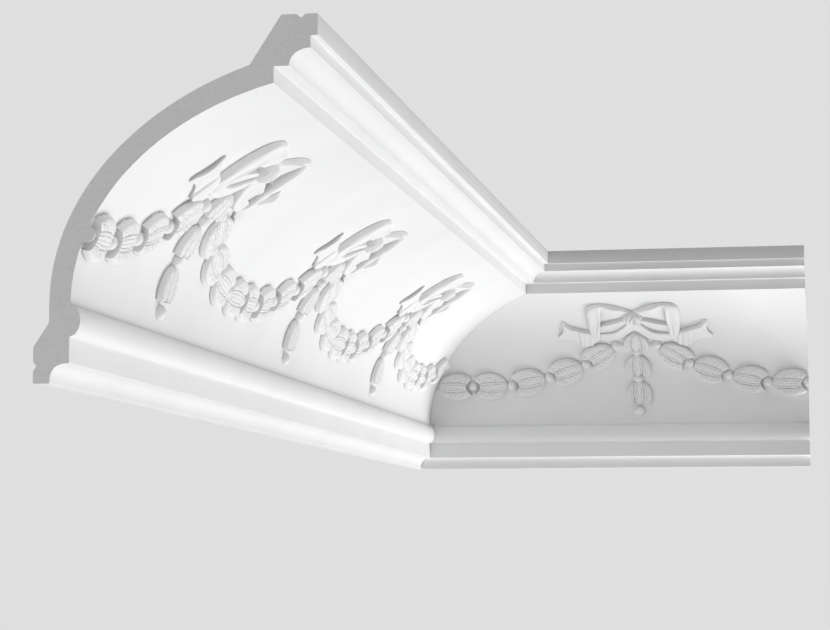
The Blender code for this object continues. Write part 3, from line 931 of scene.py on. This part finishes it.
def paintSawnFaces(piece, run):
    # The square end and the mitre show the sawn foam; every other face is primed.
    centres = np.empty(len(piece.data.polygons) * 3)
    piece.data.polygons.foreach_get("center", centres)
    centres = centres.reshape(-1, 3)
    away = (centres - np.array(corner)) / mm
    onMitre = np.abs(away[:, 0] + away[:, 1]) / math.sqrt(2) < cut["mitreBand"]
    onEnd = fromCorner(centres, run) > run["length"] - cut["endBand"]
    piece.data.polygons.foreach_set("material_index", (onMitre | onEnd).astype(np.int32))
    piece.data.update()


smoothBelow = math.radians(34)

white = primedWhite()
grey = sawnFoam()
for piece, run, node in ((leftPiece, runs["left"], "left_cornice_length"),
                         (rightPiece, runs["right"], "right_cornice_length")):
    piece.data.materials.clear()
    piece.data.materials.append(white)
    piece.data.materials.append(grey)
    paintSawnFaces(piece, run)
    paintCreaseShade(piece)
    makeActive(piece)
    bpy.ops.object.shade_smooth_by_angle(angle=smoothBelow)
    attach(piece, "root")
    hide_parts(node)
print("finishes are on")


# Floor, light and camera

room = {
    "floorDrop": 3.0, "floorSize": 16.0, "floorColour": (0.74, 0.75, 0.76, 1), "floorRoughness": 0.9,
    "floorGlow": 0.24,
    "backdrop": 0.74, "allRound": 0.06,      # the backdrop as it is seen and as it falls on the cornice
    "white": (1, 1, 1, 1),
}

clearSelection()
bpy.ops.mesh.primitive_plane_add(size=room["floorSize"], location=(0, 0, -room["floorDrop"]))
floor = bpy.context.object
floor.name = "floor"
pale = bpy.data.materials.new("paleFloor")
pale.use_nodes = True
for name, value in (("Base Color", room["floorColour"]), ("Roughness", room["floorRoughness"]),
                    ("Emission Color", room["white"]), ("Emission Strength", room["floorGlow"])):
    pale.node_tree.nodes["Principled BSDF"].inputs[name].default_value = value
floor.data.materials.append(pale)

view = {"place": (0.20837, -2.08395, -0.1009), "yaw": math.radians(-10.301),
        "pitch": math.radians(6.019), "lens": 104.85, "sensor": 36, "nearest": 0.01}
clearSelection()
bpy.ops.object.camera_add(location=view["place"])
camera = bpy.context.object
camera.rotation_euler = (math.pi / 2 + view["pitch"], 0, -view["yaw"])
camera.data.sensor_width = view["sensor"]
camera.data.lens = view["lens"]
camera.data.clip_start = view["nearest"]
bpy.context.scene.camera = camera
bpy.context.scene.view_settings.view_transform = "Standard"

world = bpy.data.worlds.new("studio")
bpy.context.scene.world = world
world.use_nodes = True
sky = Wire(world.node_tree)
seen = sky.node("ShaderNodeLightPath", {}, {}, "Is Camera Ray")
strength = room["allRound"] + (room["backdrop"] - room["allRound"]) * seen
world.node_tree.links.new(strength.socket, world.node_tree.nodes["Background"].inputs["Strength"])
world.node_tree.nodes["Background"].inputs["Color"].default_value = room["white"]

# The big softboxes stand well off and the small one close to the near end.
big = {"distance": 2.9, "width": 1.5, "aim": Vector((0, -0.75, 0.07))}
small = {"distance": 1.1, "width": 0.7, "aim": Vector((0, -1.1, 0.07))}


def addSoftbox(name, softbox, azimuth, elevation, irradiance):
    # A square lamp that faces the cornice; azimuth 0 is the front, 90 the right.
    turn, rise = math.radians(azimuth), math.radians(elevation)
    away = Vector((math.cos(rise) * math.sin(turn), -math.cos(rise) * math.cos(turn), math.sin(rise)))
    clearSelection()
    bpy.ops.object.light_add(type="AREA", location=softbox["aim"] + softbox["distance"] * away)
    lamp = bpy.context.object
    lamp.name = name
    lamp.data.size = softbox["width"]
    lamp.data.energy = irradiance * math.pi * softbox["distance"] ** 2
    lamp.rotation_euler = (-away).to_track_quat("-Z", "Y").to_euler()
    lamp.visible_camera = False


lamps = (
    ("lowBehind", big, 135, -40, 2.10),
    ("underBehind", big, 135, -60, 0.30),
    ("highRight", big, 90, 20, 1.02),
    ("lowRight", big, 90, -70, 0.52),
    ("highFront", big, 0, 20, 0.12),
    ("frontLeft", big, 315, -10, 0.46),
    ("back", big, 225, 35, 1.60),
    ("lowFrontLeft", big, 315, -40, 0.42),
    ("nearFront", small, 25, -20, 0.95),
)
for name, softbox, azimuth, elevation, irradiance in lamps:
    addSoftbox(name, softbox, azimuth, elevation, irradiance)
